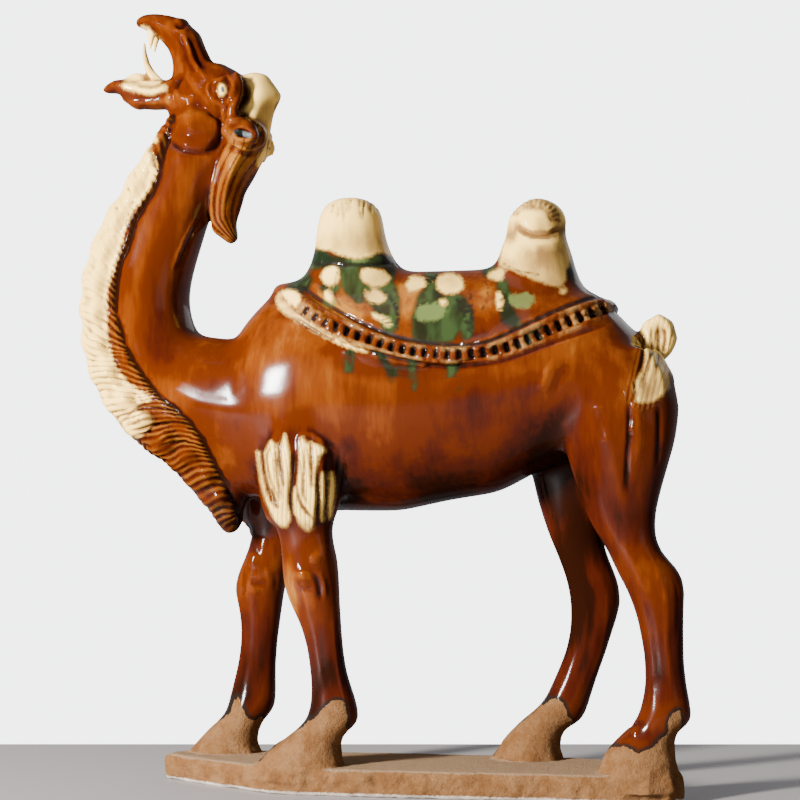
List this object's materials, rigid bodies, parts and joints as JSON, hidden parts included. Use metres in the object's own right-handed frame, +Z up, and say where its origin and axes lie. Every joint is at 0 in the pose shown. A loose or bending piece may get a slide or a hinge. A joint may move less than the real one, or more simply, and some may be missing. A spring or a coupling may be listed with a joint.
{
  "type": "sancai camel figure",
  "caption": "Tri-colour glazed pottery camel with raised head, pleated saddle cloth and bare feet on a thin slab.",
  "frame": {"origin": "under the middle of the figure's box, on the surface that the slab stands on", "axes": "+Z up; the head points to -X, the tail to +X; the side seen in the picture faces -Y"},
  "size_m": [0.4348, 0.128, 0.5508],
  "materials": {
    "glazed_pottery": "glossy amber, cream and green lead glaze, with bare buff clay at the feet and slab"
  },
  "bodies": {
    "root": {"sancai_camel": "glazed_pottery"}
  },
  "joints": []
}
